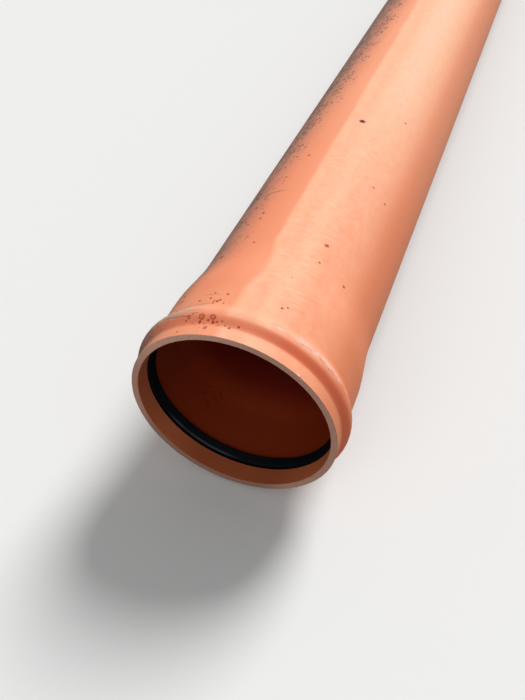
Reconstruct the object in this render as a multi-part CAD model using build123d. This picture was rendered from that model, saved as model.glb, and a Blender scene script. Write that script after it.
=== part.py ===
from build123d import *
from math import radians, tan
import os

# PVC sewer pipe with an integral bell socket and a seated rubber sealing ring.
# Millimetres. +Z is up and the pipe lies along +Y. The origin is on the axis,
# in the plane of the socket's mouth, and the mouth faces -Y.

# Pipe stock
pipe_od = 400.0
pipe_wall = 11.7
laying_length = 3000.0  # from the socket's stop to the spigot's end

# Spigot end
spigot_chamfer_length = 20.0
spigot_chamfer_angle = 15.0
spigot_inner_break = 0.8

# Socket
socket_clearance = 0.7  # radial room round an inserted spigot
socket_depth = 182.0  # from the mouth to the stop
socket_wall = 11.7
flare_length = 96.0
flare_start_radius = 300.0
flare_end_radius = 400.0

# Mouth
lip_length = 41.0  # from the mouth to the ring groove
lip_wall = 13.7
mouth_outer_break = 0.5
mouth_inner_break = 1.4

# Ring groove and the bead that carries it
groove_depth = 13.5
groove_floor_width = 20.0
groove_draft_angle = 18.0
groove_corner_bevel = 3.0
bead_wall = 11.6
bead_crest_setback = 2.4  # the crest stops short of the groove floor's back edge
bead_front_run = 16.2
bead_front_foot_radius = 16.0
bead_front_crest_radius = 24.0
bead_back_run = 22.5
bead_back_crest_radius = 30.0
bead_back_foot_radius = 24.0

# Sealing ring
ring_clearance = 0.3  # between the rubber and the groove
ring_channel_depth = 3.2  # depth of the channel at the mouth side, from the bore
ring_channel_width = 4.0
ring_ridge_height = 1.2  # how far the ridge stands in from the socket's bore
ring_ridge_position = 0.34  # share of the groove's mouth
ring_ridge_radius = 1.5
ring_lip_height = 8.0  # how far the lip's tip stands in from the bore
ring_lip_position = 0.93  # share of the groove's mouth
ring_lip_thickness = 3.0
ring_tip_radius = 0.9  # on the edge that meets a spigot first
ring_tip_bevel = 0.7  # on the edge behind it
ring_hollow_depth = 5.5  # depth of the hollow behind the lip, from the bore
ring_hollow_width = 2.0

# Radii
pipe_radius = pipe_od / 2
pipe_bore_radius = pipe_radius - pipe_wall
socket_bore_radius = pipe_radius + socket_clearance
socket_radius = socket_bore_radius + socket_wall
lip_radius = socket_bore_radius + lip_wall
groove_radius = socket_bore_radius + groove_depth
bead_radius = groove_radius + bead_wall

# Stations along the axis, from the mouth
total_length = socket_depth + laying_length
groove_draft_run = groove_depth * tan(radians(groove_draft_angle))
groove_mouth_width = groove_floor_width + 2 * groove_draft_run
groove_end = lip_length + groove_mouth_width
groove_floor_start = lip_length + groove_draft_run
groove_floor_end = groove_end - groove_draft_run
crest_start = groove_floor_start
crest_end = groove_floor_end - bead_crest_setback
bead_front_foot = crest_start - bead_front_run
bead_back_foot = crest_end + bead_back_run
flare_end = socket_depth + flare_length
chamfer_start = total_length - spigot_chamfer_length
chamfer_drop = spigot_chamfer_length * tan(radians(spigot_chamfer_angle))


def finished(corners):
    """Return the closed outline through the corners, each with its finish.

    A corner is (radius, station), or (radius, station, finish, size) where
    the finish is fillet or chamfer.
    """
    outline = make_face(Polyline(*[corner[:2] for corner in corners], close=True))
    for radius, station, finish, size in [c for c in corners if len(c) == 4]:
        vertex = outline.vertices().sort_by_distance((radius, station, 0))[0]
        outline = finish(vertex, size)
    return outline


def turned(outline):
    """Return the solid turned from an outline about the pipe's axis."""
    return revolve(outline, axis=Axis.Y, revolution_arc=360)


# The pipe: outer surface from mouth to spigot, then the bore back to the mouth.
pipe_outline = finished([
    (lip_radius, 0, chamfer, mouth_outer_break),
    (lip_radius, bead_front_foot, fillet, bead_front_foot_radius),
    (bead_radius, crest_start, fillet, bead_front_crest_radius),
    (bead_radius, crest_end, fillet, bead_back_crest_radius),
    (socket_radius, bead_back_foot, fillet, bead_back_foot_radius),
    (socket_radius, socket_depth, fillet, flare_start_radius),
    (pipe_radius, flare_end, fillet, flare_end_radius),
    (pipe_radius, chamfer_start),
    (pipe_radius - chamfer_drop, total_length),
    (pipe_bore_radius, total_length, chamfer, spigot_inner_break),
    (pipe_bore_radius, flare_end, fillet, flare_end_radius),
    (socket_bore_radius, socket_depth, fillet, flare_start_radius),
    (socket_bore_radius, groove_end),
    (groove_radius, groove_floor_end, chamfer, groove_corner_bevel),
    (groove_radius, groove_floor_start, chamfer, groove_corner_bevel),
    (socket_bore_radius, lip_length),
    (socket_bore_radius, 0, chamfer, mouth_inner_break),
])
pipe = turned(pipe_outline)

# The sealing ring: it fills the groove up to its clearance, has a shallow
# channel and a ridge towards the mouth, and a lip that leans into the socket.
ring_front = lip_length + ring_clearance
ring_back = groove_end - ring_clearance
ring_radius = groove_radius - ring_clearance
ring_draft_run = (ring_radius - socket_bore_radius) * tan(radians(groove_draft_angle))
ring_ridge = lip_length + ring_ridge_position * groove_mouth_width
ring_channel = (ring_front + ring_ridge) / 2
ring_channel_radius = socket_bore_radius + ring_channel_depth
ring_lip_back = lip_length + ring_lip_position * groove_mouth_width
ring_lip_front = ring_lip_back - ring_lip_thickness
ring_tip_inner_radius = socket_bore_radius - ring_lip_height
ring_hollow_radius = socket_bore_radius + ring_hollow_depth

ring_outline = finished([
    (socket_bore_radius, ring_front),
    (ring_radius, ring_front + ring_draft_run, chamfer, groove_corner_bevel),
    (ring_radius, ring_back - ring_draft_run, chamfer, groove_corner_bevel),
    (socket_bore_radius, ring_back),
    (ring_hollow_radius, ring_lip_front + ring_hollow_width),
    (ring_hollow_radius, ring_lip_front),
    (ring_tip_inner_radius + ring_lip_thickness / 2, ring_lip_back, chamfer, ring_tip_bevel),
    (ring_tip_inner_radius, ring_lip_front, fillet, ring_tip_radius),
    (socket_bore_radius - ring_ridge_height, ring_ridge, fillet, ring_ridge_radius),
    (ring_channel_radius, ring_channel + ring_channel_width / 2),
    (ring_channel_radius, ring_channel - ring_channel_width / 2),
])
sealing_ring = turned(ring_outline)

pipe.label = "pipe"
sealing_ring.label = "sealing_ring"

os.makedirs("parts", exist_ok=True)
for node in (pipe, sealing_ring):
    export_step(node, os.path.join("parts", node.label + ".step"))
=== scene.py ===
"""A weathered orange PVC sewer pipe with its socket and black sealing ring.

Metres. +Z is up, the pipe lies along +Y and the socket's mouth is at the origin.
A place on the pipe is an angle in degrees from its top, positive to the right as
seen from the mouth, and a station in metres from the mouth.
"""
import logging
import math
from dataclasses import dataclass, field
from enum import Enum
from typing import Any, ClassVar

import bpy
from mathutils import Matrix, Vector


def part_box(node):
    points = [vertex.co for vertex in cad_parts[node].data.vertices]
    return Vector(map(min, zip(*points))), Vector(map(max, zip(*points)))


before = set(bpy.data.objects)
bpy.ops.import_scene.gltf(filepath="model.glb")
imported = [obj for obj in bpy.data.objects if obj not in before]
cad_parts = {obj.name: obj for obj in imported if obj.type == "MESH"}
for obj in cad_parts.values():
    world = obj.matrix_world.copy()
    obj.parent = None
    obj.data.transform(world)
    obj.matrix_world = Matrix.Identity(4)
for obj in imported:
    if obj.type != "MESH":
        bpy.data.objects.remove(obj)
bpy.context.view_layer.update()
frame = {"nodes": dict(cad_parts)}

Colour = tuple[float, float, float, float]
Triple = tuple[float, float, float]
Socket = bpy.types.NodeSocket
log = logging.getLogger("sewer_pipe")

PIPE_NODE = "pipe"
RING_NODE = "sealing_ring"
FLARE_START = 0.182
FLARE_END = 0.278
SPIGOT_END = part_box(PIPE_NODE)[1][1]
ARC_RADIUS = 0.2  # radius on which the turned surface is rolled out flat
NOISE_MIDDLE = 0.5  # what smooth noise gives on average
DRIED_RING = 0.7  # how far the middle of a dried drop is left clear
SOIL: Colour = (0.12, 0.074, 0.056, 1.0)


class Easing(Enum):
    """How a value changes along a ramp."""

    SMOOTH = "SMOOTHSTEP"
    STRAIGHT = "LINEAR"


@dataclass(frozen=True)
class Ramp:
    """A change from one result to another between two readings, held beyond them."""

    start: float
    end: float
    before: float = 0.0
    after: float = 1.0
    easing: Easing = Easing.SMOOTH


@dataclass(frozen=True)
class Span:
    """A stretch between two readings, which takes some way to rise at its start and to fall at its end."""

    start: float
    end: float
    rise: float
    fall: float


@dataclass(frozen=True)
class Noise:
    """Smooth noise: waves per metre, how many finer waves it has, how strong they are, and its stretch."""

    scale: float
    detail: float
    roughness: float
    stretch: Triple | None = None


class Graph:
    """Adds nodes to one shader tree and links them."""

    def __init__(self, tree: bpy.types.NodeTree) -> None:
        """Keep the tree that the nodes go into."""
        self.tree = tree

    def node(self, kind: str, **settings: Any) -> bpy.types.Node:
        """Add a node.

        Args:
            kind: Blender's name for the type of node.
            **settings: the node's own properties.

        Returns:
            The new node.
        """
        node = self.tree.nodes.new(kind)
        for name, value in settings.items():
            setattr(node, name, value)
        return node

    def feed(self, socket: Socket, value: Any) -> None:
        """Link a socket to another socket, or set it to a plain value.

        Args:
            socket: the socket that takes the value.
            value: a socket, a number, a vector or a colour.
        """
        if isinstance(value, bpy.types.NodeSocket):
            self.tree.links.new(value, socket)
        else:
            socket.default_value = value

    def math(self, operation: str, *values: Any, clamp: bool = False) -> Socket:
        """Combine values in a Math node.

        Args:
            operation: the Math node's operation.
            *values: one to three sockets or numbers.
            clamp: whether the result is kept between 0 and 1.

        Returns:
            The result's socket.
        """
        node = self.node("ShaderNodeMath", operation=operation, use_clamp=clamp)
        for socket, value in zip(node.inputs, values):
            self.feed(socket, value)
        return node.outputs[0]

    def vector_math(self, operation: str, *values: Any) -> bpy.types.Node:
        """Combine vectors in a Vector Math node.

        Args:
            operation: the Vector Math node's operation.
            *values: one or two sockets or vectors.

        Returns:
            The node, whose result is a vector or a number.
        """
        node = self.node("ShaderNodeVectorMath", operation=operation)
        for socket, value in zip(node.inputs, values):
            self.feed(socket, value)
        return node

    def scaled(self, value: Any, gain: Any, base: Any) -> Socket:
        """Return a value times a gain, added to a base."""
        return self.math("MULTIPLY_ADD", value, gain, base)

    def product(self, *values: Any) -> Socket:
        """Multiply two or more values.

        Args:
            *values: sockets or numbers.

        Returns:
            The product's socket.
        """
        result = values[0]
        for value in values[1:]:
            result = self.math("MULTIPLY", result, value)
        return result

    def largest(self, *values: Any) -> Socket:
        """Find the largest of two or more values.

        Args:
            *values: sockets or numbers.

        Returns:
            The largest value's socket.
        """
        result = values[0]
        for value in values[1:]:
            result = self.math("MAXIMUM", result, value)
        return result

    def ramp(self, value: Socket, ramp: Ramp) -> Socket:
        """Return a value mapped along a ramp."""
        return self.map_range(value, ramp.start, ramp.end, ramp.before, ramp.after, ramp.easing)

    def map_range(
        self, value: Any, start: Any, end: Any,
        before: Any = 0.0, after: Any = 1.0, easing: Easing = Easing.SMOOTH,
    ) -> Socket:
        """Map a value from one range onto another, held beyond its ends.

        Args:
            value: what is mapped.
            start: the value that gives before.
            end: the value that gives after.
            before: the result at the start.
            after: the result at the end.
            easing: how the result changes between them.

        Returns:
            The mapped value's socket.
        """
        node = self.node("ShaderNodeMapRange", interpolation_type=easing.value)
        for socket, number in zip(node.inputs, (value, start, end, before, after)):
            self.feed(socket, number)
        return node.outputs["Result"]

    def mix(self, factor: Any, first: Any, second: Any) -> Socket:
        """Blend two colours.

        Args:
            factor: how much of the second colour there is.
            first: the colour where the factor is 0.
            second: the colour where the factor is 1.

        Returns:
            The blended colour's socket.
        """
        node = self.node("ShaderNodeMix", data_type="RGBA")
        self.feed(node.inputs["Factor"], factor)
        self.feed(node.inputs["A"], first)
        self.feed(node.inputs["B"], second)
        return node.outputs["Result"]

    def noise(self, place: Socket, noise: Noise) -> Socket:
        """Add smooth noise.

        Args:
            place: where each point lies.
            noise: the noise's scale and character.

        Returns:
            The noise's socket.
        """
        if noise.stretch is not None:
            place = self.vector_math("MULTIPLY", place, noise.stretch).outputs["Vector"]
        node = self.node("ShaderNodeTexNoise")
        self.feed(node.inputs["Vector"], place)
        node.inputs["Scale"].default_value = noise.scale
        node.inputs["Detail"].default_value = noise.detail
        node.inputs["Roughness"].default_value = noise.roughness
        return node.outputs["Fac"]


@dataclass(frozen=True)
class Effect:
    """A shader node group that is built once and placed in several finishes."""

    title: ClassVar[str] = ""
    takes: ClassVar[dict[str, str]] = {}
    gives: ClassVar[dict[str, str]] = {}

    def wire(self, graph: Graph, given: dict[str, Socket]) -> dict[str, Any]:
        """Build the inside of the group.

        Args:
            graph: the group's own tree.
            given: the group's input sockets by name.

        Returns:
            What feeds each of the group's outputs, by name.
        """
        raise NotImplementedError

    def tree(self) -> bpy.types.NodeTree:
        """Build the group the first time that it is asked for.

        Returns:
            The group's tree.
        """
        found = bpy.data.node_groups.get(self.title)
        if found is not None:
            return found
        tree = bpy.data.node_groups.new(self.title, "ShaderNodeTree")
        for name, kind in self.takes.items():
            tree.interface.new_socket(name, in_out="INPUT", socket_type="NodeSocket" + kind)
        for name, kind in self.gives.items():
            tree.interface.new_socket(name, in_out="OUTPUT", socket_type="NodeSocket" + kind)
        graph = Graph(tree)
        entry = graph.node("NodeGroupInput")
        exit_node = graph.node("NodeGroupOutput")
        given = {name: entry.outputs[name] for name in self.takes}
        for name, value in self.wire(graph, given).items():
            graph.feed(exit_node.inputs[name], value)
        return tree

    def place(self, graph: Graph, **values: Any) -> dict[str, Socket]:
        """Place the group in a finish.

        Args:
            graph: the finish's tree.
            **values: a socket, number or vector for each input, by its name.

        Returns:
            The group's output sockets by name.
        """
        node = graph.node("ShaderNodeGroup", node_tree=self.tree())
        for name, value in values.items():
            graph.feed(node.inputs[name], value)
        return {name: node.outputs[name] for name in self.gives}


@dataclass(frozen=True)
class TurnedPlace(Effect):
    """Where a point lies on a turned piece, and the surface rolled out flat."""

    title: ClassVar[str] = "Turned place"
    takes: ClassVar[dict[str, str]] = {"Point": "Vector"}
    gives: ClassVar[dict[str, str]] = {
        "Angle": "Float", "Station": "Float", "Radius": "Float", "Flat": "Vector",
    }

    def wire(self, graph: Graph, given: dict[str, Socket]) -> dict[str, Any]:
        """Find the angle, the station and the radius.

        Args:
            graph: the group's own tree.
            given: the point on the piece.

        Returns:
            The place by parts, and as a vector on the rolled-out surface.
        """
        parts = graph.node("ShaderNodeSeparateXYZ")
        graph.feed(parts.inputs[0], given["Point"])
        across, along, up = parts.outputs
        turn = graph.math("ARCTAN2", across, up)
        radius = graph.math("SQRT", graph.scaled(across, across, graph.product(up, up)))
        flat = graph.node("ShaderNodeCombineXYZ")
        graph.feed(flat.inputs["X"], graph.product(turn, ARC_RADIUS))
        graph.feed(flat.inputs["Y"], along)
        graph.feed(flat.inputs["Z"], radius)
        return {
            "Angle": graph.math("DEGREES", turn),
            "Station": along,
            "Radius": radius,
            "Flat": flat.outputs[0],
        }


@dataclass(frozen=True)
class Band(Effect):
    """A mask that is 1 between two values, with its own softness at each side."""

    title: ClassVar[str] = "Band"
    takes: ClassVar[dict[str, str]] = dict.fromkeys(("Value", "Start", "End", "Rise", "Fall"), "Float")
    gives: ClassVar[dict[str, str]] = {"Mask": "Float"}

    def wire(self, graph: Graph, given: dict[str, Socket]) -> dict[str, Any]:
        """Rise at the start and fall at the end.

        Args:
            graph: the group's own tree.
            given: the value, the span's ends and its softness.

        Returns:
            The mask.
        """
        value, start, end = given["Value"], given["Start"], given["End"]
        rise = graph.map_range(value, start, graph.math("ADD", start, given["Rise"]))
        fall = graph.map_range(value, graph.math("SUBTRACT", end, given["Fall"]), end, 1.0, 0.0)
        return {"Mask": graph.product(rise, fall)}


@dataclass(frozen=True)
class Spot(Effect):
    """A small mark with a ragged edge on the rolled-out surface, solid or with a hollow middle."""

    title: ClassVar[str] = "Spot"
    takes: ClassVar[dict[str, str]] = {
        "Flat": "Vector", "Rough": "Float", "Centre": "Vector", "Shape": "Vector", "Hollow": "Float",
    }
    gives: ClassVar[dict[str, str]] = {"Mask": "Float"}
    raggedness: float = 1.8
    edge: Ramp = Ramp(0.6, 1.0, 1.0, 0.0)
    middle: Ramp = Ramp(0.2, 0.65, 1.0, 0.0)

    def wire(self, graph: Graph, given: dict[str, Socket]) -> dict[str, Any]:
        """Measure the distance from the centre in the mark's own sizes, and roughen it.

        Args:
            graph: the group's own tree.
            given: the place, noise that roughens, and the mark's centre, shape and hollow.

        Returns:
            The mask.
        """
        away = graph.vector_math("SUBTRACT", given["Flat"], given["Centre"]).outputs["Vector"]
        shaped = graph.vector_math("MULTIPLY", away, given["Shape"]).outputs["Vector"]
        reach = graph.vector_math("LENGTH", shaped).outputs["Value"]
        even = graph.math("SUBTRACT", reach, self.raggedness * NOISE_MIDDLE)
        ragged = graph.scaled(given["Rough"], self.raggedness, even)
        hole = graph.product(graph.ramp(ragged, self.middle), given["Hollow"])
        return {"Mask": graph.product(graph.ramp(ragged, self.edge), graph.math("SUBTRACT", 1.0, hole))}


@dataclass(frozen=True)
class Grain(Effect):
    """Soft mottling, fine lines along the piece and a height for both."""

    title: ClassVar[str] = "Grain"
    takes: ClassVar[dict[str, str]] = {"Flat": "Vector"}
    gives: ClassVar[dict[str, str]] = {"Mottle": "Float", "Lines": "Float", "Height": "Float"}
    mottle: Noise = Noise(14.0, 4.0, 0.6, (1.0, 0.45, 0.0))
    lines: Noise = Noise(260.0, 3.0, 0.65, (1.0, 0.012, 0.0))
    skin: Noise = Noise(700.0, 2.0, 0.5)
    line_share: float = 0.7

    def wire(self, graph: Graph, given: dict[str, Socket]) -> dict[str, Any]:
        """Lay broad clouds, lines stretched along the axis, and a fine skin under the lines.

        Args:
            graph: the group's own tree.
            given: the place on the rolled-out surface.

        Returns:
            The mottling, the lines and the height.
        """
        lines = graph.noise(given["Flat"], self.lines)
        skin = graph.product(graph.noise(given["Flat"], self.skin), 1.0 - self.line_share)
        return {
            "Mottle": graph.noise(given["Flat"], self.mottle),
            "Lines": lines,
            "Height": graph.scaled(lines, self.line_share, skin),
        }


@dataclass(frozen=True)
class Dust(Effect):
    """A clouded film of dust, and darker crumbs of soil that cover more where there is more grit."""

    title: ClassVar[str] = "Dust"
    takes: ClassVar[dict[str, str]] = {"Flat": "Vector", "Amount": "Float", "Grit": "Float"}
    gives: ClassVar[dict[str, str]] = {"Film": "Float", "Crumbs": "Float"}
    clouds: Noise = Noise(26.0, 3.0, 0.6, (1.0, 0.6, 0.0))
    grains: Noise = Noise(110.0, 2.0, 0.55, (1.0, 0.9, 0.0))
    film_cover: Ramp = Ramp(0.25, 0.75, 0.75, 1.0)
    patch_contrast: float = 6.0
    patch_offset: float = -2.0
    cloud_share: float = 0.2
    patch_lift: Ramp = Ramp(0.0, 0.6, 0.0, 0.078)
    crumb_edge: Ramp = Ramp(0.605, 0.65)
    patch_edge: Ramp = Ramp(0.01, 0.08)

    def wire(self, graph: Graph, given: dict[str, Socket]) -> dict[str, Any]:
        """Let the film follow the amount, and raise the crumbs out of noise in patches of grit.

        Args:
            graph: the group's own tree.
            given: the place on the rolled-out surface, the amount of dust and the grit in it.

        Returns:
            The film and the crumbs.
        """
        clouds = graph.noise(given["Flat"], self.clouds)
        grains = graph.noise(given["Flat"], self.grains)
        film = graph.product(given["Amount"], graph.ramp(clouds, self.film_cover))
        gathered = graph.scaled(clouds, self.patch_contrast, self.patch_offset)
        patches = graph.product(given["Grit"], gathered)
        heap = graph.scaled(clouds, self.cloud_share, graph.product(grains, 1.0 - self.cloud_share))
        heap = graph.math("ADD", heap, graph.ramp(patches, self.patch_lift))
        crumbs = graph.product(graph.ramp(heap, self.crumb_edge), graph.ramp(patches, self.patch_edge))
        return {"Film": film, "Crumbs": crumbs}


class MarkKind(Enum):
    """What a small mark on the surface is."""

    DRIED_DROP = "dried drop"
    SPECK = "speck"
    DARK_SPECK = "dark speck"
    # The next two kinds are partly wear and partly a painted highlight
    SCUFF_AND_HIGHLIGHT = "scuff_and_highlight"
    RUBBED_AND_HIGHLIGHT_PATCH = "rubbed patch"
    SCRATCH = "scratch"
    BORE_STAIN = "stain in the bore"

    @property
    def hollow(self) -> float:
        """Return how far a mark's middle is left clear."""
        return DRIED_RING if self is MarkKind.DRIED_DROP else 0.0


@dataclass(frozen=True)
class Mark:
    """One small mark: its place, its half width along the pipe in metres, and its stretch round it."""

    angle: float
    station: float
    size: float
    stretch: float = 1.0

    @property
    def centre(self) -> Triple:
        """Return the mark's place on the rolled-out surface."""
        return (math.radians(self.angle) * ARC_RADIUS, self.station, 0.0)

    @property
    def shape(self) -> Triple:
        """Return how many half widths go in a metre, round the pipe and along it."""
        return (1.0 / (self.size * self.stretch), 1.0 / self.size, 0.0)


MARKS: dict[MarkKind, tuple[Mark, ...]] = {
    MarkKind.DRIED_DROP: (
        Mark(-17.5, 0.041, 0.0065),
        Mark(-11.5, 0.041, 0.0062),
        Mark(-14.0, 0.019, 0.0042),
        Mark(-24.5, 0.041, 0.0040),
    ),
    MarkKind.SPECK: (
        Mark(-29.0, 0.011, 0.0028),
        Mark(-13.5, 0.022, 0.0024),
        Mark(-2.0, 0.027, 0.0028),
        Mark(-4.5, 0.030, 0.0020),
        Mark(-18.0, 0.032, 0.0038),
        Mark(-11.0, 0.033, 0.0038),
        Mark(-9.0, 0.034, 0.0026),
        Mark(-13.5, 0.035, 0.0024),
        Mark(2.0, 0.033, 0.0024),
        Mark(-22.0, 0.030, 0.0017),
        Mark(-20.0, 0.025, 0.0015),
        Mark(-15.5, 0.029, 0.0017),
        Mark(-16.5, 0.037, 0.0018),
        Mark(-8.0, 0.028, 0.0016),
        Mark(-6.5, 0.036, 0.0016),
        Mark(-26.0, 0.035, 0.0019),
        Mark(-22.5, 0.046, 0.0017),
        Mark(-12.5, 0.092, 0.0024),
        Mark(-18.5, 0.093, 0.0026),
        Mark(-16.5, 0.097, 0.0038),
        Mark(-18.5, 0.099, 0.0026),
        Mark(-15.5, 0.101, 0.0032),
        Mark(-28.0, 0.103, 0.0032),
        Mark(-21.5, 0.107, 0.0034),
        Mark(-13.0, 0.119, 0.0034),
        Mark(16.0, 0.120, 0.0034),
        Mark(-21.0, 0.123, 0.0026),
        Mark(-44.5, 0.124, 0.0040),
        Mark(18.5, 0.127, 0.0026),
        Mark(13.0, 0.211, 0.0017),
        Mark(-40.5, 0.279, 0.0065),
        Mark(42.0, 0.281, 0.0040),
        Mark(22.5, 0.295, 0.0034),
        Mark(-20.0, 0.308, 0.0032),
        Mark(-28.0, 0.336, 0.0030),
        Mark(22.0, 0.352, 0.0058),
        Mark(-27.0, 0.404, 0.0038),
        Mark(-27.0, 0.424, 0.0038),
        Mark(44.5, 0.604, 0.0036),
        Mark(32.0, 0.620, 0.0036),
        Mark(-19.5, 0.672, 0.0045),
        Mark(33.0, 0.944, 0.0036),
    ),
    MarkKind.DARK_SPECK: (
        Mark(4.0, 0.856, 0.0095),
    ),
    # Pale marks, partly wear and partly a painted highlight on the crest
    MarkKind.SCUFF_AND_HIGHLIGHT: (
        Mark(19.5, 0.0590, 0.0028, 1.9),
        Mark(31.0, 0.0610, 0.0034, 1.5),
        Mark(34.0, 0.0640, 0.0044, 1.3),
        Mark(36.8, 0.0615, 0.0034, 1.8),
        Mark(40.3, 0.0655, 0.0038, 1.6),
        Mark(45.0, 0.0670, 0.0048, 1.2),
        Mark(48.3, 0.0640, 0.0040, 1.5),
        Mark(51.5, 0.0680, 0.0052, 1.2),
        Mark(54.5, 0.0640, 0.0034, 1.6),
        Mark(59.5, 0.0640, 0.0024, 2.4),
        Mark(66.0, 0.0640, 0.0024, 2.6),
        Mark(37.6, 0.0030, 0.0026, 1.1),
    ),
    # Broad pale patches, partly rubbing and partly a painted highlight on the crest
    MarkKind.RUBBED_AND_HIGHLIGHT_PATCH: (
        Mark(20.0, 0.0600, 0.0058, 1.5),
        Mark(31.0, 0.0610, 0.0062, 1.5),
        Mark(35.0, 0.0620, 0.0092, 1.3),
        Mark(40.0, 0.0620, 0.0066, 1.2),
        Mark(46.5, 0.0640, 0.0105, 1.1),
        Mark(52.0, 0.0660, 0.0120, 1.1),
        Mark(57.5, 0.0650, 0.0080, 1.2),
    ),
    MarkKind.SCRATCH: (
        Mark(39.0, 0.0022, 0.0014, 1.6),
        Mark(18.0, 0.0640, 0.0011, 14.0),
        Mark(32.0, 0.0560, 0.0013, 3.5),
        Mark(36.0, 0.0580, 0.0012, 7.0),
        Mark(39.5, 0.0660, 0.0011, 4.0),
        Mark(44.0, 0.0575, 0.0014, 8.0),
        Mark(51.0, 0.0560, 0.0014, 8.0),
        Mark(-24.0, 0.0560, 0.0011, 15.0),
        Mark(-31.0, 0.0690, 0.0012, 12.0),
        Mark(-30.0, 0.0620, 0.0010, 9.0),
        Mark(-38.0, 0.0480, 0.0026, 5.0),
        Mark(-31.5, 0.0450, 0.0022, 6.5),
        Mark(-26.0, 0.0430, 0.0017, 8.0),
        Mark(-21.5, 0.0480, 0.0015, 7.0),
        Mark(-34.0, 0.0790, 0.0020, 8.0),
        Mark(-24.0, 0.0900, 0.0014, 14.0),
        Mark(-22.0, 0.1185, 0.0013, 16.0),
        Mark(-30.0, 0.5150, 0.0040, 10.0),
    ),
    MarkKind.BORE_STAIN: (
        Mark(-138.6, 0.1830, 0.0042, 1.3),
        Mark(-139.3, 0.1660, 0.0046, 1.2),
        Mark(-136.8, 0.1590, 0.0052),
        Mark(-134.4, 0.1710, 0.0034),
        Mark(-143.0, 0.1790, 0.0040, 1.6),
        Mark(-146.6, 0.1870, 0.0044, 1.3),
        Mark(-148.5, 0.1800, 0.0048),
        Mark(-145.3, 0.1660, 0.0054, 1.5),
        Mark(-139.6, 0.1420, 0.0048),
        Mark(-142.9, 0.1450, 0.0040, 1.4),
        Mark(-144.7, 0.1370, 0.0050),
        Mark(-144.0, 0.1270, 0.0036),
        Mark(-147.5, 0.1620, 0.0034),
        Mark(-155.5, 0.1580, 0.0032),
    ),
}

@dataclass(frozen=True)
class Relief:
    """Fine relief on a surface: its strength, and its depth in metres."""

    strength: float
    depth: float


class Surface:
    """One finish's material, with where each point of a turned piece lies and its grain."""

    mark_edge: ClassVar[Noise] = Noise(300.0, 3.0, 0.6)

    def __init__(self, title: str) -> None:
        """Make the material and read the piece's own coordinates.

        Args:
            title: the material's name.
        """
        self.material = bpy.data.materials.new(title)
        self.material.use_nodes = True
        self.shader = self.material.node_tree.nodes["Principled BSDF"]
        self.graph = Graph(self.material.node_tree)
        point = self.graph.node("ShaderNodeTexCoord").outputs["Object"]
        place = TurnedPlace().place(self.graph, Point=point)
        self.angle = place["Angle"]
        self.station = place["Station"]
        self.radius = place["Radius"]
        self.flat = place["Flat"]
        grain = Grain().place(self.graph, Flat=self.flat)
        self.mottle = grain["Mottle"]
        self.lines = grain["Lines"]
        self.height = grain["Height"]

    def either_side(self, ramp: Ramp) -> Socket:
        """Return a ramp of the angle from the top, the same to the left and to the right."""
        return self.graph.ramp(self.graph.math("ABSOLUTE", self.angle), ramp)

    def band(self, value: Socket, span: Span) -> Socket:
        """Mask a stretch of a value.

        Args:
            value: what is compared, such as the angle or the station.
            span: the stretch.

        Returns:
            A mask that is 1 in the stretch and 0 outside it.
        """
        ends = {"Start": span.start, "End": span.end, "Rise": span.rise, "Fall": span.fall}
        return Band().place(self.graph, Value=value, **ends)["Mask"]

    def marks(self, *kinds: MarkKind) -> Socket:
        """Mask the placed marks of some kinds.

        Args:
            *kinds: what the marks are.

        Returns:
            One mask of them all.
        """
        rough = self.graph.noise(self.flat, self.mark_edge)
        masks = []
        for kind in kinds:
            for mark in MARKS[kind]:
                spot = Spot().place(
                    self.graph, Flat=self.flat, Rough=rough,
                    Centre=mark.centre, Shape=mark.shape, Hollow=kind.hollow,
                )
                masks.append(spot["Mask"])
        return self.graph.largest(*masks)

    def feed_shader(
        self, colour: Socket, roughness: Socket, height: Socket, gloss: float, relief: Relief,
    ) -> None:
        """Feed the shader with what a finish has worked out.

        Args:
            colour: the surface's colour.
            roughness: its roughness.
            height: the height of the fine relief.
            gloss: the specular level.
            relief: the fine relief's strength and depth.
        """
        self.graph.feed(self.shader.inputs["Base Color"], colour)
        self.graph.feed(self.shader.inputs["Roughness"], roughness)
        self.shader.inputs["Specular IOR Level"].default_value = gloss
        bump = self.graph.node("ShaderNodeBump")
        bump.inputs["Strength"].default_value = relief.strength
        bump.inputs["Distance"].default_value = relief.depth
        self.graph.feed(bump.inputs["Height"], height)
        self.graph.feed(self.shader.inputs["Normal"], bump.outputs["Normal"])


@dataclass(frozen=True)
class RubStrokes:
    """Short paler and darker strokes that run round the pipe near its top."""

    strokes: Noise = Noise(190.0, 3.0, 0.65, (0.16, 1.0, 0.0))
    patches: Noise = Noise(16.0, 2.0, 0.5)
    tone: Ramp = Ramp(0.34, 0.66, -1.0, 1.0)
    cover: Ramp = Ramp(0.40, 0.60, 0.2, 1.0)
    stations: Span = Span(0.09, 1.1, 0.04, 0.4)
    angles: Span = Span(-8.0, 40.0, 6.0, 20.0)

    def shift(self, surface: Surface) -> Socket:
        """Work out how the strokes shift the tone.

        Args:
            surface: the finish that they lie in.

        Returns:
            A value from -1, darker, to 1, paler.
        """
        graph = surface.graph
        where = graph.product(
            surface.band(surface.station, self.stations),
            surface.band(surface.angle, self.angles),
        )
        tone = graph.ramp(graph.noise(surface.flat, self.strokes), self.tone)
        cover = graph.ramp(graph.noise(surface.flat, self.patches), self.cover)
        return graph.product(tone, cover, where)


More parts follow.
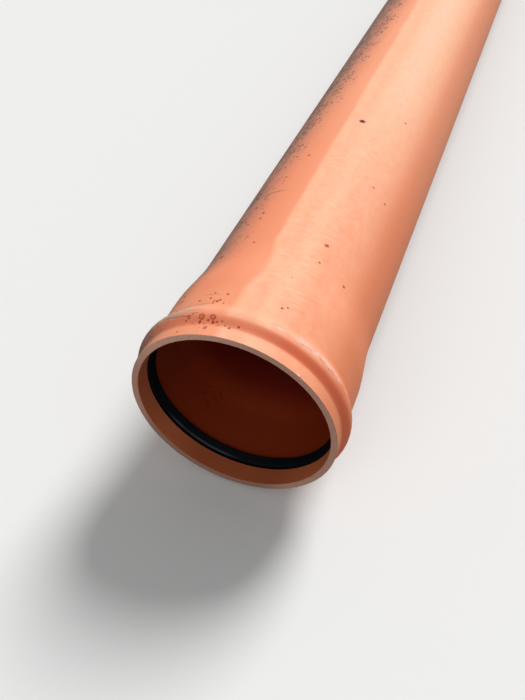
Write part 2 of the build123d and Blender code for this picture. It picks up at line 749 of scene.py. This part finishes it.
@dataclass(frozen=True)
class FadingAndSheen:
    """A pale band along the top, partly paled by the sun and partly a painted sheen of the sky's reflection,
    with a crisp left edge, and fainter paling beside it.
    """

    # Strength inside the band
    side_strength: Ramp = Ramp(-3.0, 3.0, 0.72, 0.54)
    # The palest strip, where the painted sheen is strongest
    bright_strip: Span = Span(4.0, 18.0, 6.0, 6.0)
    bright_strip_gain: float = 0.14
    right_part: Ramp = Ramp(15.0, 28.0)
    right_gain: Ramp = Ramp(0.3, 1.1, -0.34, 0.20, Easing.STRAIGHT)
    rub: RubStrokes = RubStrokes()
    rub_gain: float = 0.24
    clouds: Noise = Noise(45.0, 5.0, 0.65, (1.0, 0.6, 0.0))
    cloud_gain: float = 1.0
    crest: Span = Span(0.044, 0.095, 0.006, 0.010)
    crest_top: Span = Span(-14.0, 18.0, 6.0, 10.0)
    crest_gain: float = -0.12

    # Edges of the band
    right_edge: Ramp = Ramp(34.0, 57.0, 1.0, 0.0)
    left_edge: float = -7.8
    left_edge_full: Ramp = Ramp(0.20, 0.34, -2.4, -4.2)
    edge_waver: float = 2.4
    flare: Span = Span(0.14, 0.33, 0.07, 0.08)
    flare_edge_shift: float = -2.6
    flare_edge_softness: float = 2.2

    # Haze on both sides of it
    haze: Ramp = Ramp(0.45, 1.15, 0.05, 0.20)
    top_haze: Ramp = Ramp(-24.0, -7.0, 0.0, 0.11)
    lip: Ramp = Ramp(0.024, 0.032, 1.0, 0.0)
    lip_haze: float = 0.05
    left_part: Ramp = Ramp(-6.0, -14.0)
    socket_part: Ramp = Ramp(0.10, 0.17, 1.0, 0.0)
    left_haze: float = 0.11

    def amount(self, surface: Surface) -> Socket:
        """Join the band and the haze.

        Args:
            surface: the finish that gets the pale band.

        Returns:
            How far the colour is paled, from 0 to 1.
        """
        graph = surface.graph
        right = graph.ramp(surface.angle, self.right_edge)
        band = graph.product(self.left_rise(surface), right, self.strength(surface))
        unfaded = graph.product(
            graph.math("SUBTRACT", 1.0, band),
            graph.math("SUBTRACT", 1.0, self.hazed(surface)),
        )
        return graph.math("SUBTRACT", 1.0, unfaded, clamp=True)

    def strength(self, surface: Surface) -> Socket:
        """Work out how strong the pale band is.

        Args:
            surface: the finish that gets the pale band.

        Returns:
            The strength, which the band's edges are still to limit.
        """
        graph, angle, station = surface.graph, surface.angle, surface.station
        strength = graph.ramp(angle, self.side_strength)
        strip = surface.band(angle, self.bright_strip)
        strength = graph.scaled(strip, self.bright_strip_gain, strength)
        right = graph.ramp(angle, self.right_part)
        strength = graph.scaled(right, graph.ramp(station, self.right_gain), strength)
        strength = graph.scaled(self.rub.shift(surface), self.rub_gain, strength)
        clouds = graph.noise(surface.flat, self.clouds)
        clouds = graph.scaled(clouds, self.cloud_gain, -self.cloud_gain * NOISE_MIDDLE)
        strength = graph.math("ADD", strength, clouds)
        crest = graph.product(surface.band(station, self.crest), surface.band(angle, self.crest_top))
        return graph.scaled(crest, self.crest_gain, strength)

    def left_rise(self, surface: Surface) -> Socket:
        """Shape the band's left edge: crisp on the barrel, and soft and further right on the flare.

        Args:
            surface: the finish that gets the pale band.

        Returns:
            A mask that rises at the edge.
        """
        graph = surface.graph
        flare = surface.band(surface.station, self.flare)
        angle = graph.scaled(surface.mottle, self.edge_waver, surface.angle)
        angle = graph.scaled(flare, self.flare_edge_shift, angle)
        full = graph.ramp(surface.station, self.left_edge_full)
        full = graph.scaled(flare, self.flare_edge_softness, full)
        return graph.map_range(angle, self.left_edge, full)

    def hazed(self, surface: Surface) -> Socket:
        """Work out the faint paling beside the band.

        Args:
            surface: the finish that gets the pale band.

        Returns:
            How far the haze pales the colour.
        """
        graph, angle, station = surface.graph, surface.angle, surface.station
        haze = graph.math("ADD", graph.ramp(station, self.haze), graph.ramp(angle, self.top_haze))
        haze = graph.scaled(graph.ramp(station, self.lip), self.lip_haze, haze)
        left = graph.product(graph.ramp(angle, self.left_part), graph.ramp(station, self.socket_part))
        return graph.scaled(left, self.left_haze, haze)


@dataclass(frozen=True)
class OuterColour:
    """The outer surface's orange: a pale band along the top, partly paled by the sun and partly a painted
    sheen; painted light and shade on the bead's front flank, and painted shade at the right.
    """

    orange: Colour = (0.91, 0.292, 0.150, 1.0)
    # Painted shade: the orange made deeper on the right side, which gets less light
    painted_shade_orange: Colour = (0.79, 0.205, 0.086, 1.0)
    # The pale band's colour: partly plastic paled by the sun, partly a painted sheen
    faded_and_sheen: Colour = (0.94, 0.525, 0.328, 1.0)
    # Paler further along the pipe, near the top
    far_pale: Colour = (0.95, 0.66, 0.52, 1.0)
    # The bead's front flank: painted light on its left, painted shade on its right
    flank_painted_light: Colour = (0.95, 0.285, 0.150, 1.0)
    flank_painted_shade: Colour = (0.83, 0.185, 0.088, 1.0)
    fading_and_sheen: FadingAndSheen = FadingAndSheen()
    flank_fading_and_sheen_kept: float = 0.05
    flank_turn: Ramp = Ramp(4.0, 30.0)
    # Where the painted shade of the right side comes in
    painted_shade_side: Ramp = Ramp(42.0, 66.0)
    far_pale_stations: Ramp = Ramp(0.8, 1.15)
    far_pale_angles: Span = Span(8.0, 40.0, 10.0, 20.0)
    far_paling: float = 0.2

    def colour(self, surface: Surface, flank: Socket) -> Socket:
        """Work out the clean outer colour.

        Args:
            surface: the finish.
            flank: a mask of the bead's front flank.

        Returns:
            The colour.
        """
        graph, angle = surface.graph, surface.angle
        # Painted light and shade across the bead's front flank
        flank_lit_and_shaded = graph.mix(graph.ramp(angle, self.flank_turn), self.flank_painted_light, self.flank_painted_shade)
        orange = graph.mix(graph.ramp(angle, self.painted_shade_side), self.orange, self.painted_shade_orange)
        # The pale band, partly a painted sheen, is mostly left off the bead's front flank
        kept = graph.scaled(flank, self.flank_fading_and_sheen_kept - 1.0, 1.0)
        fading_and_sheen = graph.product(self.fading_and_sheen.amount(surface), kept)
        colour = graph.mix(fading_and_sheen, graph.mix(flank, orange, flank_lit_and_shaded), self.faded_and_sheen)
        # Paler further along, near the top
        far = graph.product(
            graph.ramp(surface.station, self.far_pale_stations),
            surface.band(angle, self.far_pale_angles),
        )
        return graph.mix(graph.product(far, self.far_paling), colour, self.far_pale)


@dataclass(frozen=True)
class BeadWearAndHighlight:
    """Pale dust, scuffed patches that are partly a painted highlight on the crest, and fine scratches on the
    socket's bead.
    """

    pale_dust: Colour = (0.42, 0.33, 0.265, 1.0)
    # Pale colour of the crest marks: partly wear, partly a painted highlight
    scuff_and_highlight: Colour = (0.86, 0.63, 0.57, 1.0)
    scratch: Colour = (0.32, 0.17, 0.11, 1.0)
    patches: Noise = Noise(70.0, 4.0, 0.65, (0.5, 1.0, 0.0))
    strokes: Noise = Noise(520.0, 3.0, 0.7, (0.10, 1.0, 0.0))
    stroke_share: float = 0.5  # against the patches' share

    # Dust on the left
    dusty_stations: Span = Span(0.042, 0.100, 0.006, 0.012)
    dusty_side: Ramp = Ramp(-14.0, -40.0)
    dust_cover: Ramp = Ramp(0.40, 0.60, 0.25, 1.0)

    # Scoring on the right, where the crest is most abraded; its pale haze is partly a painted highlight
    scored_and_highlight_stations: Span = Span(0.0490, 0.0800, 0.0080, 0.0110)
    scored_and_highlight_angles: Span = Span(25.0, 62.0, 8.0, 8.0)
    score_and_highlight_gain: float = 0.6
    score_cover: Ramp = Ramp(0.53, 0.68, 0.07, 0.60)

    # A thin pale line all round the crest, partly wear and partly a painted highlight
    crest_stations: Span = Span(0.0575, 0.0700, 0.0030, 0.0045)
    crest_angles: Span = Span(-38.0, 66.0, 12.0, 10.0)
    crest_cover: Ramp = Ramp(0.38, 0.68, 0.03, 0.25)

    # Placed marks
    # The placed scuffed and rubbed patches are partly a painted highlight on the crest
    scuff_and_highlight_strength: float = 0.56
    rubbed_and_highlight_cover: Ramp = Ramp(0.43, 0.58, 0.08, 0.60)
    scratch_strength: float = 0.62

    def wear_and_highlight(self, surface: Surface, colour: Socket) -> Socket:
        """Lay the wear and the painted highlight over a colour.

        Args:
            surface: the finish.
            colour: the clean outer colour.

        Returns:
            The colour with its wear and painted highlight.
        """
        graph, angle, station = surface.graph, surface.angle, surface.station
        patches = graph.noise(surface.flat, self.patches)
        strokes = graph.noise(surface.flat, self.strokes)
        streaks = graph.scaled(patches, 1.0 - self.stroke_share, graph.product(strokes, self.stroke_share))

        dusty = graph.product(surface.band(station, self.dusty_stations), graph.ramp(angle, self.dusty_side))
        colour = graph.mix(graph.product(dusty, graph.ramp(streaks, self.dust_cover)), colour, self.pale_dust)

        # The pale crest marks below are partly wear and partly a painted highlight
        scored_and_highlight = graph.scaled(patches, self.score_and_highlight_gain, graph.product(strokes, self.score_and_highlight_gain))
        scuffs_and_highlight = graph.largest(
            graph.product(
                surface.band(angle, self.scored_and_highlight_angles),
                surface.band(station, self.scored_and_highlight_stations),
                graph.ramp(scored_and_highlight, self.score_cover),
            ),
            graph.product(
                surface.band(angle, self.crest_angles),
                surface.band(station, self.crest_stations),
                graph.ramp(patches, self.crest_cover),
            ),
            graph.product(surface.marks(MarkKind.SCUFF_AND_HIGHLIGHT), self.scuff_and_highlight_strength),
            graph.product(surface.marks(MarkKind.RUBBED_AND_HIGHLIGHT_PATCH), graph.ramp(streaks, self.rubbed_and_highlight_cover)),
        )
        colour = graph.mix(scuffs_and_highlight, colour, self.scuff_and_highlight)
        scratches = graph.product(surface.marks(MarkKind.SCRATCH), self.scratch_strength)
        return graph.mix(scratches, colour, self.scratch)


@dataclass(frozen=True)
class DustCover:
    """Dust and soil on the left shoulder, which creep up with the distance, and a thin film below."""

    dust: Colour = (0.24, 0.17, 0.15, 1.0)
    near_shift: Ramp = Ramp(0.12, 0.26, 15.0, 0.0, Easing.STRAIGHT)
    far_shift: Ramp = Ramp(0.7, 1.5, 0.0, -9.0, Easing.STRAIGHT)
    flank_shift: float = -6.0
    upper_edge: Ramp = Ramp(-20.0, -55.0)
    lower_edge: Ramp = Ramp(-108.0, -66.0, 0.2, 1.0)
    underside: Ramp = Ramp(125.0, 180.0, 0.0, 0.3)
    grit: Ramp = Ramp(0.25, 1.1, 0.15, 1.15, Easing.STRAIGHT)
    crumb_strength: Ramp = Ramp(-82.0, -50.0, 0.22, 0.72)
    bore_film: float = 0.1
    outer_film: float = 0.95

    def thickness(self, surface: Surface, flank: Socket) -> Socket:
        """Work out how thick the dust lies.

        Args:
            surface: the finish.
            flank: a mask of the bead's front flank.

        Returns:
            The thickness, from 0 to 1.
        """
        graph, angle, station = surface.graph, surface.angle, surface.station
        crept = graph.math("ADD", angle, graph.ramp(station, self.near_shift))
        crept = graph.math("ADD", crept, graph.ramp(station, self.far_shift))
        crept = graph.scaled(flank, self.flank_shift, crept)
        side = graph.product(graph.ramp(crept, self.upper_edge), graph.ramp(angle, self.lower_edge))
        return graph.largest(side, surface.either_side(self.underside))

    def layers(self, surface: Surface, outside: Socket, flank: Socket) -> tuple[Socket, Socket]:
        """Lay the dust as a film, and as crumbs on the outer surface.

        Args:
            surface: the finish.
            outside: a mask of the outer surface.
            flank: a mask of the bead's front flank.

        Returns:
            The masks of the film and of the crumbs.
        """
        graph = surface.graph
        amount = self.thickness(surface, flank)
        grit = graph.product(amount, outside, graph.ramp(surface.station, self.grit))
        dust = Dust().place(graph, Flat=surface.flat, Amount=amount, Grit=grit)
        cover = graph.scaled(outside, self.outer_film - self.bore_film, self.bore_film)
        crumbs = graph.product(dust["Crumbs"], graph.ramp(surface.angle, self.crumb_strength))
        return graph.product(dust["Film"], cover), crumbs


@dataclass(frozen=True)
class Spatter:
    """Dried drops and specks: the placed ones and a sprinkle of finer ones, more of them on the left."""

    speck: Colour = (0.34, 0.037, 0.005, 1.0)
    dark_speck: Colour = (0.085, 0.006, 0.001, 1.0)
    placed_strength: float = 0.84
    fine_strength: float = 0.6
    fine_scale: float = 34.0  # cells per metre, with one fine speck in a few of them
    left_chance: Ramp = Ramp(-8.0, -40.0, 0.0, 0.3)
    fine_size: Ramp = Ramp(0.84, 1.2, 0.0, 0.085)
    fine_edge: Ramp = Ramp(-0.025, 0.0, 1.0, 0.0)

    def mask(self, surface: Surface) -> Socket:
        """Mask the drops and the specks.

        Args:
            surface: the finish.

        Returns:
            Their mask.
        """
        graph = surface.graph
        cells = graph.node("ShaderNodeTexVoronoi", voronoi_dimensions="2D")
        graph.feed(cells.inputs["Vector"], surface.flat)
        cells.inputs["Scale"].default_value = self.fine_scale
        chance = graph.node("ShaderNodeSeparateColor")
        graph.feed(chance.inputs[0], cells.outputs["Color"])
        left = graph.ramp(surface.angle, self.left_chance)
        size = graph.ramp(graph.math("ADD", chance.outputs[0], left), self.fine_size)
        fine = graph.ramp(graph.math("SUBTRACT", cells.outputs["Distance"], size), self.fine_edge)
        placed = surface.marks(MarkKind.DRIED_DROP, MarkKind.SPECK)
        return graph.largest(
            graph.product(placed, self.placed_strength),
            graph.product(fine, self.fine_strength),
        )


@dataclass(frozen=True)
class BoreColour:
    """The bore's orange with painted shade: bright at both ends, deep between them, darker at the bottom of
    the lip, and faintly stained in the socket.
    """

    # These bore colours are the pipe's orange darkened as painted shade, most of all beyond the sealing ring
    # and along the barrel
    lip: Colour = (0.64, 0.175, 0.070, 1.0)
    # Painted shade at the bottom of the lip's bore
    lip_bottom: Colour = (0.42, 0.105, 0.038, 1.0)
    socket: Colour = (0.28, 0.032, 0.005, 1.0)
    barrel: Colour = (0.18, 0.010, 0.0015, 1.0)
    # Where the bore's painted shade lifts towards the open spigot end
    open_end_orange: Colour = (0.62, 0.17, 0.07, 1.0)
    stain: Colour = (0.10, 0.012, 0.003, 1.0)
    bottom: Ramp = Ramp(125.0, 160.0)
    ring_groove: Ramp = Ramp(0.041, 0.070)
    flare: Ramp = Ramp(FLARE_START, FLARE_END)
    end_length: float = 1.0
    stain_strength: float = 0.4

    def colour(self, surface: Surface) -> Socket:
        """Work out the bore's colour.

        Args:
            surface: the finish.

        Returns:
            The colour.
        """
        graph, station = surface.graph, surface.station
        colour = graph.mix(surface.either_side(self.bottom), self.lip, self.lip_bottom)
        colour = graph.mix(graph.ramp(station, self.ring_groove), colour, self.socket)
        colour = graph.mix(graph.ramp(station, self.flare), colour, self.barrel)
        near_end = graph.ramp(station, Ramp(SPIGOT_END - self.end_length, SPIGOT_END))
        colour = graph.mix(near_end, colour, self.open_end_orange)
        stains = graph.product(surface.marks(MarkKind.BORE_STAIN), self.stain_strength)
        return graph.mix(stains, colour, self.stain)


@dataclass(frozen=True)
class CutFace:
    """The pipe's two cut faces, with fine scores: grey-tan from dust and painted shade, paler at the upper
    left and darker towards the bottom.
    """

    # The faces' grey-tan is partly dust and partly painted shade, as they face away from the key lamp
    cut: Colour = (0.50, 0.28, 0.205, 1.0)
    pale_cut: Colour = (0.67, 0.38, 0.285, 1.0)
    depth: float = 0.0006
    pale_angles: Span = Span(-75.0, 20.0, 30.0, 40.0)
    # Darker towards the bottom of each face
    darker_low_left: Ramp = Ramp(-100.0, -125.0)
    darker_low_right: Ramp = Ramp(140.0, 165.0)
    low_darkening: float = 0.5
    scores: Noise = Noise(380.0, 4.0, 0.7, (1.0, 0.0, 0.25))
    score_cover: Ramp = Ramp(0.45, 0.75, 0.0, 0.45)

    def mask(self, surface: Surface) -> Socket:
        """Mask both faces.

        Args:
            surface: the finish.

        Returns:
            Their mask.
        """
        graph, station = surface.graph, surface.station
        mouth = Ramp(self.depth, self.depth * 2, 1.0, 0.0)
        spigot = Ramp(SPIGOT_END - self.depth * 2, SPIGOT_END - self.depth)
        return graph.largest(graph.ramp(station, mouth), graph.ramp(station, spigot))

    def colour(self, surface: Surface) -> Socket:
        """Work out the faces' colour.

        Args:
            surface: the finish.

        Returns:
            The colour.
        """
        graph, angle = surface.graph, surface.angle
        colour = graph.mix(surface.band(angle, self.pale_angles), self.cut, self.pale_cut)
        # Darker towards the bottom, towards the soil colour
        darker_low = graph.largest(graph.ramp(angle, self.darker_low_left), graph.ramp(angle, self.darker_low_right))
        scores = graph.ramp(graph.noise(surface.flat, self.scores), self.score_cover)
        return graph.mix(graph.largest(graph.product(darker_low, self.low_darkening), scores), colour, SOIL)


@dataclass(frozen=True)
class WeatheredPipe:
    """Orange PVC that has lain outside: pale along its top, partly from the sun and partly a painted sheen,
    dusty on its left, and darkened by painted shade in its bore.
    """

    outer: OuterColour = OuterColour()
    bead: BeadWearAndHighlight = BeadWearAndHighlight()
    bore: BoreColour = BoreColour()
    face: CutFace = CutFace()
    cover: DustCover = DustCover()
    spatter: Spatter = Spatter()
    front_flank: Span = Span(0.025, 0.050, 0.006, 0.008)
    wall_middle: Ramp = Ramp(FLARE_START, FLARE_END, 0.2066, 0.1942, Easing.STRAIGHT)  # its radius

    # The grain's share in the colour
    darkest: float = 0.92
    line_tone: float = 0.06
    mottle_tone: float = 0.10

    # Gloss and relief
    gloss: float = 0.15
    smoothest: float = 0.55
    mottle_roughness: float = 0.14
    film_roughness: float = 0.4
    face_roughness: float = 0.75
    speck_roughness: float = 0.9
    relief: Relief = Relief(0.25, 0.0004)
    speck_height: float = 3.0
    crumb_height: float = 2.0

    def material(self) -> bpy.types.Material:
        """Build the material.

        Returns:
            The material, which reads the object's own coordinates.
        """
        surface = Surface("weathered_orange_pvc")
        graph = surface.graph
        outside = graph.math("GREATER_THAN", surface.radius, graph.ramp(surface.station, self.wall_middle))
        flank = surface.band(surface.station, self.front_flank)
        film, crumbs = self.cover.layers(surface, outside, flank)
        specks = graph.product(self.spatter.mask(surface), outside)
        face = self.face.mask(surface)

        colour = self.bead.wear_and_highlight(surface, self.outer.colour(surface, flank))
        colour = graph.mix(outside, self.bore.colour(surface), colour)
        colour = self.mottled(surface, colour)
        colour = graph.mix(film, colour, self.cover.dust)
        colour = graph.mix(crumbs, colour, SOIL)
        colour = graph.mix(specks, colour, self.spatter.speck)
        dark_speck = graph.product(surface.marks(MarkKind.DARK_SPECK), outside)
        colour = graph.mix(dark_speck, colour, self.spatter.dark_speck)
        colour = graph.mix(face, colour, self.face.colour(surface))

        rough = graph.scaled(surface.mottle, self.mottle_roughness, self.smoothest)
        rough = graph.scaled(film, self.film_roughness, rough)
        rough = graph.largest(
            rough,
            graph.product(face, self.face_roughness),
            graph.product(specks, self.speck_roughness),
        )
        height = graph.scaled(specks, self.speck_height, surface.height)
        height = graph.scaled(crumbs, self.crumb_height, height)
        surface.feed_shader(colour, rough, height, self.gloss, self.relief)
        return surface.material

    def mottled(self, surface: Surface, colour: Socket) -> Socket:
        """Lighten and darken a colour by the grain.

        Args:
            surface: the finish.
            colour: the colour before.

        Returns:
            The colour with its grain.
        """
        graph = surface.graph
        tone = graph.scaled(surface.lines, self.line_tone, graph.product(surface.mottle, self.mottle_tone))
        node = graph.vector_math("SCALE", colour)
        graph.feed(node.inputs["Scale"], graph.math("ADD", tone, self.darkest))
        return node.outputs["Vector"]


@dataclass(frozen=True)
class BlackRubber:
    """Black moulded rubber with a little dust, and a pale streak on the ridge's left side that is partly dust
    and partly a painted highlight.
    """

    black: Colour = (0.0012, 0.0018, 0.0032, 1.0)
    # Dust colour, also used for the ridge's pale streak, which is partly a painted highlight
    dust: Colour = (0.050, 0.055, 0.065, 1.0)
    dust_amount: Ramp = Ramp(0.3, 0.8, 0.0, 0.3)
    dust_strength: float = 0.1
    ridge: float = 0.0508
    ridge_width: Ramp = Ramp(0.0008, 0.0022, 1.0, 0.0)
    ridge_dust_and_highlight_angle: float = -150.0
    ridge_dust_and_highlight_reach: Ramp = Ramp(16.0, 30.0, 1.0, 0.0)
    ridge_dust_and_highlight_cover: Ramp = Ramp(0.3, 0.6, 0.3, 0.9)
    gloss: float = 0.04
    clean_roughness: float = 0.45
    dust_roughness: float = 0.4
    relief: Relief = Relief(0.3, 0.0003)

    def material(self) -> bpy.types.Material:
        """Build the material.

        Returns:
            The material, which reads the object's own coordinates.
        """
        surface = Surface("black_sealing_rubber")
        graph = surface.graph
        amount = graph.ramp(surface.mottle, self.dust_amount)
        dust = Dust().place(graph, Flat=surface.flat, Amount=amount, Grit=amount)
        film = graph.largest(graph.product(dust["Film"], self.dust_strength), self.ridge_dust_and_highlight(surface))
        colour = graph.mix(film, self.black, self.dust)
        rough = graph.scaled(film, self.dust_roughness, self.clean_roughness)
        surface.feed_shader(colour, rough, surface.height, self.gloss, self.relief)
        return surface.material

    def ridge_dust_and_highlight(self, surface: Surface) -> Socket:
        """Lay a pale streak along the ridge, low on its left side: partly dust and partly a painted
        highlight.

        Args:
            surface: the finish.

        Returns:
            The streak's mask.
        """
        graph = surface.graph
        off = graph.math("ABSOLUTE", graph.math("SUBTRACT", surface.station, self.ridge))
        turned = graph.math("ABSOLUTE", graph.math("SUBTRACT", surface.angle, self.ridge_dust_and_highlight_angle))
        return graph.product(
            graph.ramp(off, self.ridge_width),
            graph.ramp(turned, self.ridge_dust_and_highlight_reach),
            graph.ramp(surface.mottle, self.ridge_dust_and_highlight_cover),
        )


@dataclass
class PipeAssembly:
    """The pipe and its sealing ring, dressed with their finishes."""

    pvc: WeatheredPipe = field(default_factory=WeatheredPipe)
    rubber: BlackRubber = field(default_factory=BlackRubber)

    def dress(self, nodes: dict[str, bpy.types.Object]) -> None:
        """Give each piece its finish.

        Args:
            nodes: the fixed pieces by name.
        """
        for name, finish in ((PIPE_NODE, self.pvc), (RING_NODE, self.rubber)):
            piece = nodes[name]
            material = finish.material()
            for slot in piece.material_slots:
                slot.material = material
            log.info("%s: %d faces, finish %s", name, len(piece.data.polygons), material.name)


@dataclass(frozen=True)
class Lamp:
    """A distant soft lamp: the way it stands from the pipe, its strength and its width in degrees."""

    name: str
    direction: Triple
    strength: float
    width: float

    def hang(self) -> None:
        """Add the lamp, shining towards the origin."""
        lamp = bpy.data.lights.new(self.name, "SUN")
        lamp.energy = self.strength
        lamp.angle = math.radians(self.width)
        hung = bpy.data.objects.new(self.name, lamp)
        hung.rotation_euler = Vector(self.direction).to_track_quat("Z", "Y").to_euler()
        bpy.context.scene.collection.objects.link(hung)


@dataclass
class Studio:
    """The plain pale floor, the soft light and the camera."""

    # The floor touches the bead's crest and the start of the spigot's chamfer
    crest_station: float = 0.0545
    crest_radius: float = 0.2258
    chamfer_length: float = 0.020
    pipe_radius: float = 0.2000
    floor_size: float = 60.0
    floor_colour: Colour = (0.80, 0.80, 0.79, 1.0)
    floor_bounce: Colour = (0.22, 0.21, 0.20, 1.0)
    floor_roughness: float = 0.9

    # Light
    world_colour: Colour = (0.86, 0.87, 0.88, 1.0)
    sky_level: float = 0.28
    key: Lamp = Lamp("key", (0.200, 0.690, 0.695), 3.13, 24.0)
    front: Lamp = Lamp("front", (0.0, -0.85, 0.50), 0.92, 60.0)

    # Camera
    camera_place: Triple = (0.37160, -0.82326, 1.09932)
    camera_forward: Triple = (-0.24550, 0.65904, -0.71091)
    camera_right: Triple = (0.93709, 0.34908, 0.0)
    lens: float = 37.53
    sensor: float = 36.0

    @staticmethod
    def seen(graph: Graph) -> Socket:
        """Tell what the camera, a mirror or glass looks at from what only lights the object.

        Args:
            graph: the tree of the floor or the world.

        Returns:
            1 where it is looked at and 0 elsewhere.
        """
        rays = graph.node("ShaderNodeLightPath")
        seen = graph.math("ADD", rays.outputs["Is Camera Ray"], rays.outputs["Is Glossy Ray"])
        return graph.math("ADD", seen, rays.outputs["Is Transmission Ray"], clamp=True)

    def lay_floor(self) -> None:
        """Lay the floor under the bead and the spigot's end, which carry the pipe."""
        front, low = self.crest_station, -self.crest_radius
        back, high = SPIGOT_END - self.chamfer_length, -self.pipe_radius
        slope = (high - low) / (back - front)
        half = self.floor_size / 2
        corners = [
            (x, y, low + slope * (y - front))
            for x, y in ((-half, -half), (half, -half), (half, half), (-half, half))
        ]
        mesh = bpy.data.meshes.new("floor")
        mesh.from_pydata(corners, [], [(0, 1, 2, 3)])
        mesh.materials.append(self.floor_material())
        floor = bpy.data.objects.new("floor", mesh)
        bpy.context.scene.collection.objects.link(floor)

    def floor_material(self) -> bpy.types.Material:
        """Build the floor's material: pale to look at, and darker in the light that it throws back.

        Returns:
            The material.
        """
        material = bpy.data.materials.new("pale_floor")
        material.use_nodes = True
        graph = Graph(material.node_tree)
        shader = material.node_tree.nodes["Principled BSDF"]
        colour = graph.mix(self.seen(graph), self.floor_bounce, self.floor_colour)
        graph.feed(shader.inputs["Base Color"], colour)
        shader.inputs["Roughness"].default_value = self.floor_roughness
        shader.inputs["Specular IOR Level"].default_value = 0.0
        return material

    def light(self) -> None:
        """Set the even sky, the soft key high behind the socket and a weak front lamp."""
        world = bpy.data.worlds.new("studio")
        world.use_nodes = True
        bpy.context.scene.world = world
        graph = Graph(world.node_tree)
        background = world.node_tree.nodes["Background"]
        background.inputs["Color"].default_value = self.world_colour
        strength = graph.scaled(self.seen(graph), 1.0 - self.sky_level, self.sky_level)
        graph.feed(background.inputs["Strength"], strength)
        self.key.hang()
        self.front.hang()

    def camera(self) -> None:
        """Place the camera as the photograph was taken."""
        data = bpy.data.cameras.new("camera")
        data.sensor_width = self.sensor
        data.lens = self.lens
        camera = bpy.data.objects.new("camera", data)
        forward = Vector(self.camera_forward).normalized()
        right = Vector(self.camera_right).normalized()
        turn = Matrix((right, right.cross(forward), -forward)).transposed()
        camera.matrix_world = Matrix.Translation(self.camera_place) @ turn.to_4x4()
        bpy.context.scene.collection.objects.link(camera)
        bpy.context.scene.camera = camera

    def build(self) -> None:
        """Set up the floor, the light, the camera and the view."""
        self.lay_floor()
        self.light()
        self.camera()
        bpy.context.scene.view_settings.view_transform = "Standard"
        log.info("studio: floor, sky, key lamp, front lamp and camera")


def main() -> None:
    """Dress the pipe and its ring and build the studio."""
    logging.basicConfig(level=logging.INFO, format="%(name)s: %(message)s")
    PipeAssembly().dress(frame["nodes"])
    Studio().build()


if __name__ == "__main__":
    main()
